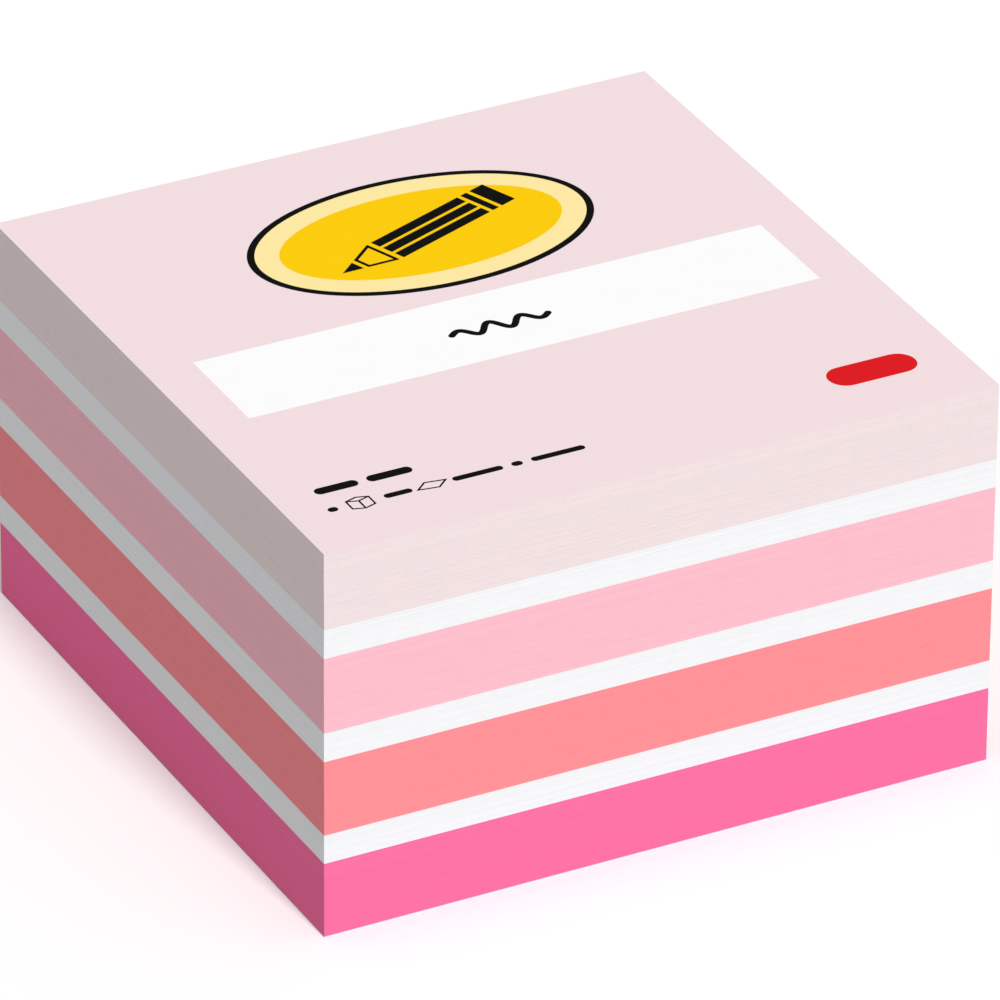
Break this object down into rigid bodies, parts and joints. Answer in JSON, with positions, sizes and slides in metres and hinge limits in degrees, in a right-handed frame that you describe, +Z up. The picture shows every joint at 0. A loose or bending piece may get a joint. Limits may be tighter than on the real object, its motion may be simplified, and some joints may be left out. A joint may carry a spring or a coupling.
{
  "type": "sticky note pad",
  "caption": "Square block of self-adhesive paper notes in pale pink, pink, coral and hot pink layers with thinner white layers between them, under a printed cover.",
  "frame": {"origin": "centre of the pad's base, on the surface it rests on", "axes": "+Z up through the stack, -Y towards the reader with +X to the reader's right, and +Y towards the bound edge, where each note's adhesive strip lies"},
  "size_m": [0.076, 0.076, 0.0443],
  "materials": {
    "pale_pink_paper": "matte",
    "white_paper": "matte",
    "pink_paper": "matte",
    "coral_paper": "matte",
    "hot_pink_paper": "matte",
    "backing_paper": "matte",
    "white_print": "matte",
    "yellow_print": "matte",
    "gold_print": "matte",
    "dark_print": "matte",
    "red_print": "matte"
  },
  "bodies": {
    "root": {"backing_sheet": "backing_paper", "hot_pink_notes": "hot_pink_paper", "lower_white_notes": "white_paper", "coral_notes": "coral_paper", "middle_white_notes": "white_paper", "pink_notes": "pink_paper", "upper_white_notes": "white_paper", "pale_pink_notes": "pale_pink_paper", "cover_sheet": "pale_pink_paper"}
  },
  "joints": []
}
